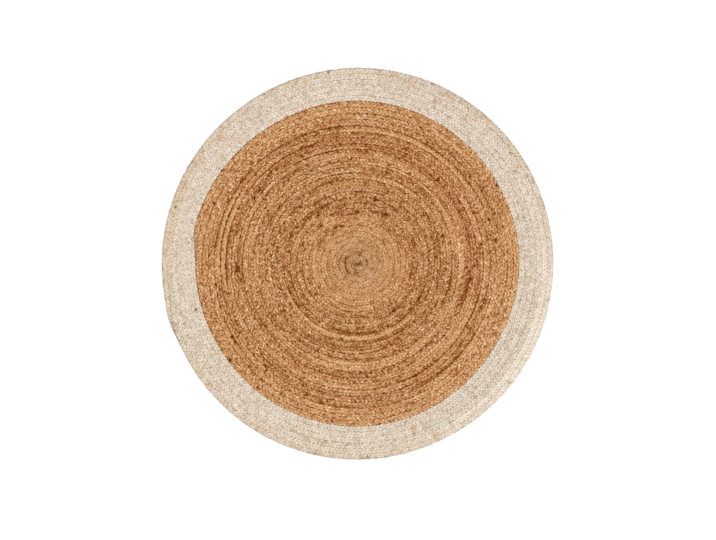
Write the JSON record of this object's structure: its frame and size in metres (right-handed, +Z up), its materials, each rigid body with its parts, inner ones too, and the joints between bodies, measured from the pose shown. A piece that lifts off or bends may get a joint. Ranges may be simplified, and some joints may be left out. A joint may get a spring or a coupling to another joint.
{
  "type": "round braided jute rug",
  "caption": "Flat round rug of a jute plait coiled into a spiral, with a natural field and a bleached border.",
  "frame": {"origin": "middle of the flat underside, under the middle of the rim", "axes": "+Z up out of the upper side; +X to the right and +Y away, as the rug is seen from above with the splice of its border on the left"},
  "size_m": [1.1978, 1.1986, 0.01],
  "materials": {
    "natural_jute": "matt coarse plaited fibre, golden brown with lighter and darker strands",
    "bleached_jute": "matt coarse plaited fibre, pale cream"
  },
  "bodies": {
    "root": {"field_plait": "natural_jute", "border_plait": "bleached_jute"}
  },
  "joints": []
}
